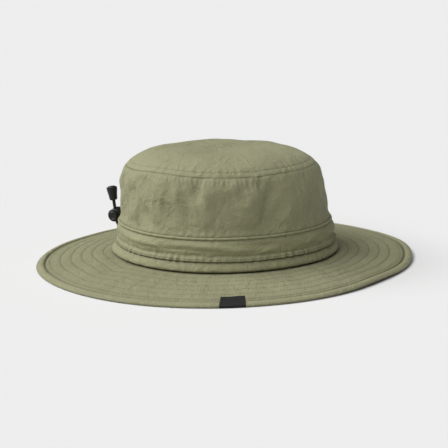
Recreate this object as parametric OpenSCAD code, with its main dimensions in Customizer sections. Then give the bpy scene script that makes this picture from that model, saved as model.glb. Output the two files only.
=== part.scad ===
// Wide-brim sun hat with a domed crown, a drawcord channel and a toggle at the back.
// The hat stands on the brim's edge: origin at the middle of the brim on the ground,
// +X to the front of the hat, +Y to the wearer's left, +Z up. Millimetres.

/* [Head oval] */
// Half length of the head opening inside the sweatband
head_half_length = 99.6; // [94:0.2:106]
// How much shorter the half width is than the half length
oval_difference = 16.5; // [12:0.5:20]
// Distance of the end arcs' centres from the middle of the oval
end_arc_offset = 33; // [30:1:38]

/* [Crown] */
// Height of the seam between the side panels and the top panel
tip_seam_height = 94.5; // [90:0.5:100]
// Half length of the top panel at its seam
tip_half_length = 92; // [88:0.5:94]
// Rise of the top panel above its seam
tip_rise = 15.6; // [8:0.2:20]
// Angle of the side seams measured from the front
side_seam_angle = 95; // [80:1:110]
// Width of the tape over a seam on the inside
tape_width = 10; // [6:1:14]

/* [Brim] */
// Half length of the brim from the middle of the hat to its front edge
brim_half_length = 182; // [160:1:190]
// Height of the brim's top at the crown
brim_height = 10; // [8:0.5:12]
// How strongly the droop gathers at the outer edge
brim_curve = 1.7; // [1.2:0.1:2.4]
// Width of the flat turned hem under the edge
hem_width = 8; // [5:0.5:10]

/* [Cloth] */
// Thickness of one layer of shell cloth
cloth = 0.8; // [0.6:0.1:0.9]
// Thickness of a label or of a tape
tape = 0.5; // [0.3:0.1:0.6]

/* [Label] */
// Width of the blank label folded over the brim's edge
label_width = 22.6; // [15:0.2:40]
// Depth of the label on top of the brim
label_depth = 17; // [9:1:25]
// Angle of the label's middle, measured from the front
label_angle = 290; // [260:1:300]

/* [Drawcord] */
// Diameter of the drawcord
cord_d = 2; // [1.6:0.1:2.2]
// Half distance between the two tails where they run side by side
cord_gap = 1.25; // [1.2:0.05:1.5]
// Half distance between the two eyelets
eyelet_offset = 4.35; // [4.2:0.05:4.5]

/* [Toggle] */
// Outer radius of the cord lock's barrel
lock_r = 6.4; // [6.2:0.1:6.4]
// Radius of the bore that the plunger runs in
lock_bore_r = 4.6; // [4.4:0.1:4.8]
// Radial clearance round the plunger
plunger_clearance = 0.15; // [0.1:0.05:0.2]
// How far the plunger is pressed in
plunger_travel = 2.2; // [1.6:0.1:2.2]
// How far the cord lock slides up the tails
lock_travel = 8; // [4:0.5:8]
// Outward lean of the toggle
toggle_lean = 6; // [0:1:6]

/* [Hidden] */

olive = [0.50, 0.50, 0.38];
olive_dark = [0.43, 0.43, 0.32];
grey_green = [0.36, 0.37, 0.31];
black = [0.06, 0.06, 0.06];
steel = [0.72, 0.72, 0.74];

// The oval is four tangent arcs: two end arcs with their centres on the X axis and two
// side arcs with their centres on the Y axis. Every ring of the hat keeps these centres,
// so walls keep their thickness all the way round. A profile is drawn as (r, z), where r
// is the ring's half length.
side_arc_offset = oval_difference * (2 * end_arc_offset - oval_difference)
    / (2 * (end_arc_offset - oval_difference));
arc_end = atan2(side_arc_offset, end_arc_offset);
// Each arc: centre, first angle, last angle, shift from half length to arc radius
arcs = [
    [[end_arc_offset, 0], -arc_end, arc_end, -end_arc_offset],
    [[0, -side_arc_offset], arc_end, 180 - arc_end, side_arc_offset - oval_difference],
    [[-end_arc_offset, 0], 180 - arc_end, 180 + arc_end, -end_arc_offset],
    [[0, side_arc_offset], 180 + arc_end, 360 - arc_end, side_arc_offset - oval_difference]
];

// Upright wedge between two angles, seen from an arc's centre
wedge_reach = 400;
module wedge(from, to) {
    translate([0, 0, -20])
        linear_extrude(height = 160)
            polygon(concat(
                [[0, 0]],
                [for (i = [0 : 2])
                    let (a = from + (to - from) * i / 2)
                        wedge_reach * [cos(a), sin(a)]]
            ));
}

// Sweeps the profile round the oval from one angle to another. Each arc is a full turn
// about its own centre, kept inside the wedge between its first and last angle.
module sweep_oval(from = -arc_end, to = 360 - arc_end) {
    for (arc = arcs, turn = [-360, 0, 360]) {
        lo = max(from, arc[1] + turn);
        hi = min(to, arc[2] + turn);
        if (hi - lo > 0.01)
            translate(arc[0])
                intersection() {
                    rotate_extrude($fn = 128) translate([arc[3], 0]) children();
                    wedge(lo, hi);
                }
    }
}
// Flat oval plate of one half length
module oval_plate(r, bottom, top) {
    for (arc = arcs)
        translate(arc[0])
            intersection() {
                translate([0, 0, bottom])
                    cylinder(r = r + arc[3], h = top - bottom, $fn = 128);
                wedge(arc[1], arc[2]);
            }
}

// Crown side wall, outer face from the brim up to the top seam, as (r, z)
wall_top = [tip_half_length, tip_seam_height];
wall = [
    [106.4, 10], [105, 19], [102.6, 25], [102.6, 41.4], [100.6, 49],
    [99.4, 62], [98.3, 76], [95.4, 88], wall_top
];
function inset(points, by) = [for (p = points) [p[0] - by, p[1]]];
function reversed(points) = [for (i = [len(points) - 1 : -1 : 0]) points[i]];
// A band that lies against the inside of the wall, between two of its corners
function wall_band(first, last, outer, inner) = concat(
    [for (i = [first : last]) [wall[i][0] - outer, wall[i][1]]],
    [for (i = [last : -1 : first]) [wall[i][0] - inner, wall[i][1]]]
);

// Top panel: nearly flat in the middle and rounding down to its seam
tip_flat_r = 42;
tip_steps = 6;
function tip_z(r) = tip_seam_height + tip_rise * (1 - pow(r / tip_half_length, 4));
tip_curve = [
    for (i = [0 : tip_steps])
        let (r = tip_half_length + (tip_flat_r - tip_half_length) * i / tip_steps)
            [r, tip_z(r)]
];

// Brim: top face level to the strip's edge, then drooping to the outer edge
brim_in_r = 101.6;
brim_bend_r = 107.5;
brim_thickness = 3 * cloth;
brim_steps = 10;
function brim_z(r) = r <= brim_bend_r ? brim_height
    : brim_height - (brim_height - brim_thickness)
        * pow((r - brim_bend_r) / (brim_half_length - brim_bend_r), brim_curve);
function brim_line(from_r, to_r, down) = [
    for (i = [0 : brim_steps])
        let (r = from_r + (to_r - from_r) * i / brim_steps) [r, brim_z(r) - down]
];
hem_in_r = brim_half_length - hem_width;
hem_step_r = hem_in_r - 1.5;
core_out_r = hem_step_r - 0.5;

// Toggle: the cord lock's middle, and the lean of everything on the tails
lock_middle = [-113.2, 0, 39.5];
module at_toggle() translate(lock_middle) rotate([0, -toggle_lean, 0]) children();
function along_toggle(up, side) =
    lock_middle + [-up * sin(toggle_lean), side, up * cos(toggle_lean)];

// Drawcord inside the channel, and the route of each tail from there to the knot
cord_ring_r = 103.75;
cord_z = 28;
cord_end_angle = 6.5;
knot_base = 18.5;
tail_turns = [
    [-103.3, 8, 28], [-103.6, 6.6, 28], [-104.3, 5.4, 28], [-105.4, 4.5, 28],
    [-106.8, 4, 28], [-108.3, 3.6, 28.3], [-109.8, 3.1, 29.1], [-111, 2.5, 30.3],
    [-111.9, 1.8, 31.7]
];
tail_straight = [-6.2, -2, 3, 8, 13, knot_base];
function tail_route(side) = concat(
    [for (p = tail_turns) [p[0], side * p[1], p[2]]],
    [for (up = tail_straight) along_toggle(up, side * cord_gap)]
);

// Tube swept along a route: each ring stands square to the route's direction there
tube_sides = 8;
function unit(v) = v / norm(v);
function direction(path, i) =
    unit(path[min(i + 1, len(path) - 1)] - path[max(i - 1, 0)]);
function tube_ring(middle, dir, r) =
    let (u = unit(cross(dir, [0, 1, 0])), v = cross(dir, u))
    [for (k = [0 : tube_sides - 1])
        let (a = 360 * k / tube_sides) middle + r * (u * cos(a) + v * sin(a))];
module tube(path, r) {
    rings = len(path);
    points = [for (i = [0 : rings - 1]) each tube_ring(path[i], direction(path, i), r)];
    sides = [
        for (i = [0 : rings - 2], k = [0 : tube_sides - 1])
            let (n = (k + 1) % tube_sides, a = i * tube_sides, b = a + tube_sides)
                [a + n, a + k, b + k, b + n]
    ];
    start = [[for (k = [0 : tube_sides - 1]) k]];
    finish = [[for (k = [tube_sides - 1 : -1 : 0]) (rings - 1) * tube_sides + k]];
    polyhedron(points = points, faces = concat(start, sides, finish), convexity = 6);
}

// Slot through a piece for the two tails side by side, along Z
module tail_slot(half_length, r, height) {
    for (side = [-1, 1])
        translate([0, side * half_length, -height / 2])
            cylinder(r = r, h = height, $fn = 32);
    translate([-r, -half_length, -height / 2])
        cube([2 * r, 2 * half_length, height]);
}

// Folded label: over the top of the brim, round the edge and under the hem. Grown
// outwards, the same profile cuts the recess that the label lies in.
label_half = label_width / 2 / (brim_half_length - oval_difference + side_arc_offset)
    * 180 / PI;
module label_block(grow = 0) {
    sweep_oval(label_angle - label_half, label_angle + label_half)
        polygon(concat(
            brim_line(brim_half_length - label_depth, brim_half_length + grow, -grow),
            [
                [brim_half_length + grow, -grow], [hem_in_r, -grow], [hem_in_r, tape],
                [brim_half_length - tape, tape]
            ],
            reversed(brim_line(brim_half_length - label_depth, brim_half_length - tape, tape))
        ));
}

module crown_tip() {
    color(olive) {
        sweep_oval()
            polygon(concat(
                reversed(tip_curve),
                [[tip_half_length - cloth, tip_seam_height]],
                [for (i = [1 : tip_steps]) tip_curve[i] - [0, cloth]]
            ));
        oval_plate(tip_flat_r, tip_z(tip_flat_r) - cloth, tip_z(tip_flat_r));
    }
}

module crown_panel(from, to) {
    sweep_oval(from, to) polygon(wall_band(0, len(wall) - 1, 0, cloth));
}
module crown_front() {
    color(olive) crown_panel(-side_seam_angle, side_seam_angle);
}
module crown_rear() {
    color(olive) crown_panel(side_seam_angle, 360 - side_seam_angle);
}

module tip_seam_tape() {
    color(olive_dark) sweep_oval() polygon(wall_band(7, 8, cloth, cloth + tape));
}
module side_seam_tape(angle) {
    half = tape_width / 2 / (wall[5][0] - oval_difference + side_arc_offset) * 180 / PI;
    sweep_oval(angle - half, angle + half) polygon(wall_band(3, 7, cloth, cloth + tape));
}
module side_seam_tape_right() {
    color(olive_dark) side_seam_tape(360 - side_seam_angle);
}
module side_seam_tape_left() {
    color(olive_dark) side_seam_tape(side_seam_angle);
}

module eyelet_holes(r) {
    for (side = [-1, 1])
        translate([-110, side * eyelet_offset, cord_z])
            rotate([0, 90, 0])
                cylinder(r = r, h = 6.5, $fn = 48);
}
eyelet_r = 2.2;
module cord_channel() {
    color(olive)
        difference() {
            sweep_oval()
                polygon([
                    [104.4, 20.5], [107.2, 20.5], [106.3, 23.5], [105.75, 27], [106.1, 33],
                    [105.4, 38.5], [103.9, 41.4], [102.6, 41.4], [102.6, 40.2], [103.5, 40.2],
                    [104.6, 38], [105.3, 33], [104.95, 27], [105.5, 23.2], [105.9, 21.6],
                    [104, 21.6]
                ]);
            eyelet_holes(eyelet_r);
        }
}
module base_strip() {
    color(olive)
        sweep_oval()
            polygon([
                [106.4, 10], [108.6, 10], [109.6, 12], [109.7, 14.5], [108.8, 18],
                [107, 20.4], [104.44, 20.4], [105, 19]
            ]);
}

module sweatband_face() {
    color(olive_dark)
        sweep_oval()
            polygon([
                [head_half_length, 7.6], [head_half_length + 0.5, 7.6],
                [head_half_length + 0.5, 38], [head_half_length + 2, 38],
                [head_half_length + 2, 38.5], [head_half_length, 38.5]
            ]);
}
module sweatband_layer(inner, outer, bottom) {
    sweep_oval()
        translate([head_half_length + inner, bottom])
            square([outer - inner, 38 - bottom]);
}
module sweatband_foam() {
    color(grey_green) sweatband_layer(0.5, 1.5, 9);
}
module sweatband_back() {
    color(olive_dark) sweatband_layer(1.5, 2, 7.6);
}
module care_label() {
    color([0.9, 0.9, 0.88])
        sweep_oval(168, 192)
            translate([head_half_length - 0.3, 12])
                square([0.3, 16]);
}

module brim_top() {
    color(olive)
        difference() {
            sweep_oval()
                polygon(concat(
                    [[brim_in_r, brim_height - cloth], [brim_in_r, brim_height]],
                    brim_line(brim_bend_r, brim_half_length, 0),
                    [[brim_half_length, brim_thickness / 2]],
                    reversed(brim_line(brim_bend_r, core_out_r, cloth))
                ));
            label_block(1);
        }
}
module brim_core() {
    color(grey_green)
        sweep_oval()
            polygon(concat(
                [[brim_in_r, brim_height - 2 * cloth], [brim_in_r, brim_height - cloth]],
                brim_line(brim_bend_r, core_out_r, cloth),
                reversed(brim_line(brim_bend_r, core_out_r, 2 * cloth))
            ));
}
module brim_under() {
    color(olive_dark)
        difference() {
            sweep_oval()
                polygon(concat(
                    [
                        [brim_in_r, brim_height - brim_thickness],
                        [brim_in_r, brim_height - 2 * cloth]
                    ],
                    brim_line(brim_bend_r, core_out_r, 2 * cloth),
                    [
                        [core_out_r, brim_z(core_out_r) - cloth],
                        [brim_half_length, brim_thickness / 2],
                        [brim_half_length, 0], [hem_in_r, 0]
                    ],
                    reversed(brim_line(brim_bend_r, hem_step_r, brim_thickness))
                ));
            label_block(1);
        }
}
module brim_label() {
    color(black) label_block();
}

module drawcord() {
    color(black)
        sweep_oval(180 + cord_end_angle, 540 - cord_end_angle)
            translate([cord_ring_r, cord_z])
                circle(r = cord_d / 2, $fn = 8);
}
module cord_tail_left() {
    color(black) tube(tail_route(1), cord_d / 2);
}
module cord_tail_right() {
    color(black) tube(tail_route(-1), cord_d / 2);
}

module eyelet(side) {
    translate([0, side * eyelet_offset, cord_z])
        rotate([0, -90, 0])
            difference() {
                union() {
                    translate([0, 0, 104.9]) cylinder(r = eyelet_r, h = 1.3, $fn = 48);
                    translate([0, 0, 105.8]) cylinder(r = 3, h = 0.6, $fn = 48);
                }
                translate([0, 0, 104]) cylinder(r = 1.7, h = 4, $fn = 48);
            }
}
module eyelet_left() {
    color(black) eyelet(1);
}
module eyelet_right() {
    color(black) eyelet(-1);
}

shell_base = 15;
module cord_knot() {
    color(black)
        at_toggle()
            translate([0, 0, knot_base])
                rotate_extrude($fn = 48)
                    polygon([[0, 0], [2.6, 0], [3.3, 1], [3.3, 3.4], [2.4, 4.4], [0, 4.4]]);
}
module cord_end_shell() {
    color(black)
        at_toggle()
            translate([0, 0, shell_base])
                difference() {
                    rotate_extrude($fn = 64)
                        polygon([
                            [0, 0], [3.4, 0], [3.9, 1], [4.3, 5], [5, 9], [5.3, 11.4],
                            [5.1, 12.6], [4.2, 12.6], [4.2, 11.2], [3.6, 8.4], [3.5, 3.4], [0, 3.4]
                        ]);
                    tail_slot(cord_gap, cord_d / 2 + 0.15, 8);
                }
}
module cord_end_cap() {
    color(black)
        at_toggle()
            translate([0, 0, shell_base + 11.2])
                rotate_extrude($fn = 64)
                    polygon([[0, 0], [4.2, 0], [4.2, 1.6], [3.4, 2.3], [0, 2.6]]);
}

// Cord lock in its own frame: barrel axis along Y, tails along Z through the middle
lock_front = -5.6;
lock_back = 8.6;
lock_floor = 7.4;
plunger_front = -8.6;
plunger_back = 4.1;
slot_r = cord_d / 2 + 0.25;
module along_y(y) translate([0, y, 0]) rotate([-90, 0, 0]) children();
module lock_barrel() {
    color(black)
        at_toggle()
            difference() {
                along_y(lock_front)
                    rotate_extrude($fn = 96)
                        polygon([
                            [lock_bore_r, 0], [lock_r - 0.8, 0], [lock_r, 0.8],
                            [lock_r, lock_back - lock_front - 1.2],
                            [lock_r - 1.2, lock_back - lock_front],
                            [0, lock_back - lock_front], [0, lock_floor - lock_front],
                            [lock_bore_r, lock_floor - lock_front]
                        ]);
                tail_slot(cord_gap, slot_r, 20);
            }
}
module lock_plunger() {
    r = lock_bore_r - plunger_clearance;
    color([0.1, 0.1, 0.1])
        at_toggle()
            difference() {
                along_y(plunger_front)
                    rotate_extrude($fn = 96)
                        polygon([
                            [0, 0.5], [2.6, 0.5], [3.2, 0], [r - 0.5, 0], [r, 0.5],
                            [r, plunger_back - plunger_front], [0, plunger_back - plunger_front]
                        ]);
                for (y = [-plunger_travel - cord_gap, cord_gap])
                    translate([0, y, -10]) cylinder(r = slot_r, h = 20, $fn = 32);
                translate([-slot_r, -plunger_travel - cord_gap, -10])
                    cube([2 * slot_r, plunger_travel + 2 * cord_gap, 20]);
            }
}

spring_r = 3.2;
spring_wire = 0.5;
spring_turns = 3;
spring_rings = 12 * spring_turns;
spring_length = lock_floor - plunger_back - spring_wire;
module lock_spring() {
    color(steel)
        at_toggle()
            tube(
                [for (i = [0 : spring_rings])
                    let (a = 360 * spring_turns * i / spring_rings)
                        [
                            spring_r * cos(a),
                            plunger_back + spring_wire / 2 + spring_length * i / spring_rings,
                            spring_r * sin(a)
                        ]],
                spring_wire / 2
            );
}

crown_tip();
crown_front();
crown_rear();
tip_seam_tape();
side_seam_tape_right();
side_seam_tape_left();
cord_channel();
base_strip();
sweatband_face();
sweatband_foam();
sweatband_back();
care_label();
brim_top();
brim_core();
brim_under();
brim_label();
drawcord();
cord_tail_left();
cord_tail_right();
cord_knot();
eyelet_left();
eyelet_right();
cord_end_shell();
cord_end_cap();
lock_barrel();
lock_plunger();
lock_spring();
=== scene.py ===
import math
import bpy
import numpy as np
from mathutils import Matrix, Vector


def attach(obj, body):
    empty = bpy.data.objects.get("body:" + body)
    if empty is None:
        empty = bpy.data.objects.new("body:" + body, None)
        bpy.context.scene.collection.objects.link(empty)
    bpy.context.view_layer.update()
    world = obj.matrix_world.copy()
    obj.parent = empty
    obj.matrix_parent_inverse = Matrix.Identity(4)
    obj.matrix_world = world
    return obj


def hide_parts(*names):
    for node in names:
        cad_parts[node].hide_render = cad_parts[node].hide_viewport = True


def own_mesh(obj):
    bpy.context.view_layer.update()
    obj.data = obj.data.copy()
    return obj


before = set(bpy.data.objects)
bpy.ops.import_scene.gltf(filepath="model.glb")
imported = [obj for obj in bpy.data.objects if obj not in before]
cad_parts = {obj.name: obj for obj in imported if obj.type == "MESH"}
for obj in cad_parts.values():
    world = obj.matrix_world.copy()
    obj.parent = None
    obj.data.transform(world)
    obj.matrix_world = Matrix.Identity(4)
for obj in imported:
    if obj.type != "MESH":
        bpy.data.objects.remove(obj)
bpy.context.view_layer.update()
scene = bpy.context.scene
scene.view_settings.view_transform = "Standard"
print("frame loaded:", len(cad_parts), "nodes")

mm = 0.001
tau = 2 * math.pi

# camera
cameraView = {
    "target": (0.0, 0.0, 0.061),
    "azimuth": 19.4,
    "elevation": 11.93,
    "distance": 1.2,
    "roll": -2.25,
    "lens": 100.6,
    "aim": (-0.0001, 0.0341),  # sideways and height of the point in the middle of the view
}


def makeCamera(view):
    # the camera stands on a ray from the target, looks at the aim point, and is rolled about its axis
    azimuth, elevation = math.radians(view["azimuth"]), math.radians(view["elevation"])
    side = Vector((math.cos(azimuth), math.sin(azimuth), 0))
    back = Vector((math.sin(azimuth) * math.cos(elevation),
                   -math.cos(azimuth) * math.cos(elevation), math.sin(elevation)))
    place = Vector(view["target"]) + back * view["distance"]
    aim = side * view["aim"][0] + Vector((0, 0, view["aim"][1]))
    away = (place - aim).normalized()
    right = Vector((0, 0, 1)).cross(away).normalized()
    up = away.cross(right)
    roll = math.radians(view["roll"])
    across = math.cos(roll) * right + math.sin(roll) * up
    upward = -math.sin(roll) * right + math.cos(roll) * up
    data = bpy.data.cameras.new("camera")
    data.lens = view["lens"]
    data.sensor_width = 36
    data.clip_end = 100
    camera = bpy.data.objects.new("camera", data)
    turn = Matrix((across, upward, away)).transposed().to_4x4()
    camera.matrix_world = Matrix.Translation(place) @ turn
    scene.collection.objects.link(camera)
    scene.camera = camera


makeCamera(cameraView)
print("camera made")

# the oval that every ring of the hat follows
ovalShape = {"endCentre": 33 * mm, "sideCentre": 24.75 * mm, "difference": 16.5 * mm}
arcEnd = math.atan2(ovalShape["sideCentre"], ovalShape["endCentre"])


def ovalPoint(phi, halfLength):
    # four tangent arcs: the centre of the arc that faces phi, plus its radius along (cos phi, sin phi)
    c, d, e = ovalShape["endCentre"], ovalShape["sideCentre"], ovalShape["difference"]
    turn = np.arctan2(np.sin(phi), np.cos(phi))
    onSide = (np.abs(turn) > arcEnd) & (np.abs(turn) < math.pi - arcEnd)
    centreX = np.where(onSide, 0.0, np.sign(np.cos(phi)) * c)
    centreY = np.where(onSide, -np.sign(turn) * d, 0.0)
    radius = np.where(onSide, halfLength - e + d, halfLength - c)
    return centreX + radius * np.cos(phi), centreY + radius * np.sin(phi)


def ovalRing(phi, halfLength, height):
    # points of the oval at a height
    phi, halfLength, height = np.broadcast_arrays(phi, halfLength, height)
    return np.stack([*ovalPoint(phi, halfLength), height], -1)


# the crown leans rearwards: heights and shifts along X at its foot and its top (millimetres)
leanHeights = [46, 96]
leanShifts = [0, -1.9]


def leanAt(height):
    # a straight line between the two heights
    return np.interp(height / mm, leanHeights, leanShifts) * mm


# shape helpers
def walkAlong(points):
    # the distance walked from the first point to each point
    return np.concatenate([[0], np.cumsum(np.linalg.norm(np.diff(points, axis=0), axis=1))])


def bendThrough(points, count):
    # Catmull-Rom curve through the points, then sampled evenly along its length
    p = np.array(points, float)
    p = np.vstack([2 * p[0] - p[1], p, 2 * p[-1] - p[-2]])
    t = np.linspace(0, 1, 40, endpoint=False)[:, None]
    pieces = [
        0.5 * (2 * b + (c - a) * t + (2 * a - 5 * b + 4 * c - d) * t ** 2
               + (3 * b - a - 3 * c + d) * t ** 3)
        for a, b, c, d in zip(p[:-3], p[1:-2], p[2:-1], p[3:])
    ]
    fine = np.vstack(pieces + [p[-2:-1]])
    walked = walkAlong(fine)
    even = np.linspace(0, walked[-1], count)
    return np.stack([np.interp(even, walked, fine[:, k]) for k in range(p.shape[1])], 1)


def waves(phi, v, seed, count, lowest, highest, slant):
    # sum of cosines with whole numbers of waves round the hat, scaled to a spread of about one
    rng = np.random.default_rng(seed)
    total = 0
    for m, k, phase, size in zip(rng.integers(lowest, highest + 1, count),
                                 rng.uniform(-slant, slant, count),
                                 rng.uniform(0, tau, count),
                                 rng.uniform(0.4, 1, count)):
        total += size * np.cos(m * phi + k * v + phase)
    return total / math.sqrt(count * 0.27)


def hump(distance, width):
    # bell curve of height one
    return np.exp(-(distance / width) ** 2)


def turnFrom(phi, angle):
    # phi - angle, wrapped to half a turn either way
    return np.arctan2(np.sin(phi - angle), np.cos(phi - angle))


def ease(x, low, high):
    # smooth step from 0 at low to 1 at high
    t = np.clip((x - low) / (high - low), 0, 1)
    return t * t * (3 - 2 * t)


def gridMesh(name, points, closed=False, loop=False, seam=None, flip=False, pole=False, keep=None,
             ends=False):
    # quads between the rows and columns of a grid of points, with its own UV in metres
    rows, cols = points.shape[:2]
    uv = clothUv(points)
    i = np.arange(rows if closed else rows - 1)[:, None]
    j = np.arange(cols if loop else cols - 1)[None, :]
    n, m = (i + 1) % rows, (j + 1) % cols
    quads = np.stack([i * cols + j, n * cols + j, n * cols + m, i * cols + m], -1)
    corners = np.stack([uv[i, j], uv[i + 1, j], uv[i + 1, j + 1], uv[i, j + 1]], 2)
    if keep is not None:
        quads, corners = quads[keep], corners[keep]
    quads, corners = quads.reshape(-1, 4), corners.reshape(-1, 4, 2)
    loops, loopUv = [quads], [corners]
    totals = [np.full(len(quads), 4)]
    vertices = points.reshape(-1, 3)
    values = None if seam is None else seam.reshape(-1)
    ring = np.arange(rows) * cols
    if pole:
        caps = np.stack([ring + cols - 1, np.roll(ring, -1) + cols - 1, np.full(rows, len(vertices))], -1)
        vertices = np.vstack([vertices, points[:, -1].mean(0)])
        loops.append(caps)
        loopUv.append(np.repeat(uv[:rows, -1][:, None], 3, axis=1))
        totals.append(np.full(rows, 3))
        if values is not None:
            values = np.append(values, values[-1])
    if ends:
        for rim in (ring[::-1], ring + cols - 1):
            loops.append(rim[None])
            loopUv.append(np.zeros((1, rows, 2)))
            totals.append(np.array([rows]))
    if flip:
        loops, loopUv = [part[:, ::-1] for part in loops], [part[:, ::-1] for part in loopUv]
    loops = np.concatenate([part.ravel() for part in loops])
    loopUv = np.concatenate([part.reshape(-1, 2) for part in loopUv])
    totals = np.concatenate(totals)
    starts = np.concatenate([[0], np.cumsum(totals)[:-1]])
    return meshFrom(name, vertices, loops, starts, totals, loopUv, values)


def setAll(items, key, values, kind):
    # a whole array goes in at once
    items.foreach_set(key, np.ascontiguousarray(values, kind).ravel())


def meshFrom(name, vertices, loops, starts, totals, loopUv=None, seam=None):
    # vertices, the corners of every face in a row, and each face's first corner and number of corners
    mesh = bpy.data.meshes.new(name)
    mesh.vertices.add(len(vertices))
    setAll(mesh.vertices, "co", vertices, np.float32)
    mesh.loops.add(len(loops))
    setAll(mesh.loops, "vertex_index", loops, np.int32)
    mesh.polygons.add(len(starts))
    setAll(mesh.polygons, "loop_start", starts, np.int32)
    setAll(mesh.polygons, "loop_total", totals, np.int32)
    if loopUv is not None:
        setAll(mesh.uv_layers.new(name="clothUv").data, "uv", loopUv, np.float32)
    if seam is not None:
        setAll(mesh.attributes.new("seam", "FLOAT", "POINT").data, "value", seam, np.float32)
    mesh.update(calc_edges=True)
    mesh.validate()
    mesh.polygons.foreach_set("use_smooth", np.ones(len(mesh.polygons), bool))
    piece = bpy.data.objects.new(name, mesh)
    scene.collection.objects.link(piece)
    return piece


def clothUv(points):
    # u is the distance walked round the middle row, v the distance walked along the profile
    ring, line = points[:, points.shape[1] // 2], points[0]
    u, v = (walkAlong(np.vstack([way, way[:1]])) for way in (ring, line))
    return np.stack(np.meshgrid(u, v, indexing="ij"), -1)


def thicken(piece, thickness):
    # cloth thickness grows inwards from the outer face
    wall = piece.modifiers.new("clothThickness", "SOLIDIFY")
    wall.thickness = thickness
    wall.offset = -1.0
    wall.use_even_offset = False


def finishPiece(piece, slot, look, *nodes):
    # every cloth piece rides on the hat
    piece.data.materials.append(looks[look])
    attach(piece, "hat")
    if nodes:
        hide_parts(*nodes)


# node helpers
def addNode(tree, kind, inputs=None, **settings):
    # inputs are sockets to link from or values to set
    made = tree.nodes.new("ShaderNode" + kind)
    for key, value in settings.items():
        setattr(made, key, value)
    for key, value in (inputs or {}).items():
        if isinstance(value, bpy.types.NodeSocket):
            tree.links.new(value, made.inputs[key])
        else:
            made.inputs[key].default_value = value
    return made


def mathNode(tree, operation, a, b=0.0, clamp=False):
    # a (operation) b
    return addNode(tree, "Math", {0: a, 1: b}, operation=operation, use_clamp=clamp).outputs[0]


def mixColour(tree, factor, a, b, blend="MIX"):
    # a * (1 - factor) + b * factor, with b blended over a
    node = addNode(tree, "Mix", {0: factor, 6: a, 7: b}, data_type="RGBA", blend_type=blend)
    return node.outputs[2]


groupResults = {"Color": "Color", "Roughness": "Float", "Height": "Float"}


def newGroup(name, inputs):
    # a node group with named sockets: (tree, the input node's sockets, output node)
    tree = bpy.data.node_groups.new(name, "ShaderNodeTree")
    for label, kind in inputs.items():
        tree.interface.new_socket(label, in_out="INPUT", socket_type="NodeSocket" + kind)
    for label, kind in groupResults.items():
        tree.interface.new_socket(label, in_out="OUTPUT", socket_type="NodeSocket" + kind)
    return tree, tree.nodes.new("NodeGroupInput").outputs, tree.nodes.new("NodeGroupOutput")


def closeGroup(tree, result, *sockets):
    # the colour, the roughness and the height leave the group
    for label, socket in zip(groupResults, sockets):
        tree.links.new(socket, result.inputs[label])
    return tree


def newMaterial(name):
    # (material, its tree, its Principled node)
    material = bpy.data.materials.new(name)
    material.use_nodes = True
    tree = material.node_tree
    return material, tree, tree.nodes["Principled BSDF"]


# cloth: plain weave, slubby threads, fine crinkle, faded patches, painted shade in seam ditches and painted
# highlight on folded edges
def makeClothGroup():
    tree, g, result = newGroup(
        "wovenCloth", {"Vector": "Vector", "Place": "Vector", "Seam": "Float", "Light": "Color",
                       "Dark": "Color", "Pitch": "Float", "Crinkle": "Float"})

    def times(a, b, clamp=False):
        return mathNode(tree, "MULTIPLY", a, b, clamp)

    def plus(a, b):
        return mathNode(tree, "ADD", a, b)

    def slubs(scale):
        # noise drawn out along the threads
        threads = addNode(tree, "Mapping", {0: g["Vector"], 3: scale})
        return addNode(tree, "TexNoise", {0: threads.outputs[0], 2: 1.0, 3: 2.0}).outputs[0]

    def creases(scale, detail, rough, distortion):
        # how far the noise is from its middle value
        noise = addNode(tree, "TexNoise",
                        {0: g["Place"], 2: scale, 3: detail, 4: rough, 8: distortion})
        return mathNode(tree, "ABSOLUTE", mathNode(tree, "SUBTRACT", noise.outputs[0], 0.5))

    split = addNode(tree, "SeparateXYZ", {0: g["Vector"]})
    step = mathNode(tree, "DIVIDE", tau / 2, g["Pitch"])
    warp = mathNode(tree, "SINE", times(split.outputs[0], step))
    weft = mathNode(tree, "SINE", times(split.outputs[1], step))
    weave = times(warp, weft)
    threads = plus(slubs((260, 1500, 1)), slubs((1500, 260, 1)))
    patch = addNode(tree, "TexNoise", {0: g["Place"], 2: 24.0, 3: 3.0})
    crinkle = plus(times(creases(210.0, 4.0, 0.55, 0.4), -2.0), times(creases(62.0, 3.0, 0.5, 0.6), -5.0))
    height = times(crinkle, g["Crinkle"])
    height = plus(height, times(weave, 0.09))
    height = plus(height, times(threads, 0.16))
    tone = plus(times(patch.outputs[0], 0.9), times(threads, 0.28))
    tone = mathNode(tree, "SUBTRACT", tone, 0.22, clamp=True)
    colour = mixColour(tree, tone, g["Dark"], g["Light"])
    # painted shade: where the seam value is below zero the colour is multiplied toward the shadow colour,
    # in stitch ditches, grooves and under overlapping cloth
    shadeAmount = times(g["Seam"], -0.75, True)
    highlightAmount = times(g["Seam"], 0.35, True)
    shadow = mixColour(tree, 1.0, colour, (0.32, 0.31, 0.26, 1), "MULTIPLY")
    colour = mixColour(tree, shadeAmount, colour, shadow)
    # painted highlight: where the seam value is above zero the colour is lightened toward 1.35 times, along
    # folded edges, lips and bulges
    highlighted = mixColour(tree, 1.0, colour, (1.35, 1.35, 1.3, 1), "MULTIPLY")
    colour = mixColour(tree, highlightAmount, colour, highlighted)
    rough = plus(0.58, times(patch.outputs[0], 0.22))
    return closeGroup(tree, result, colour, rough, height)


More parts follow.
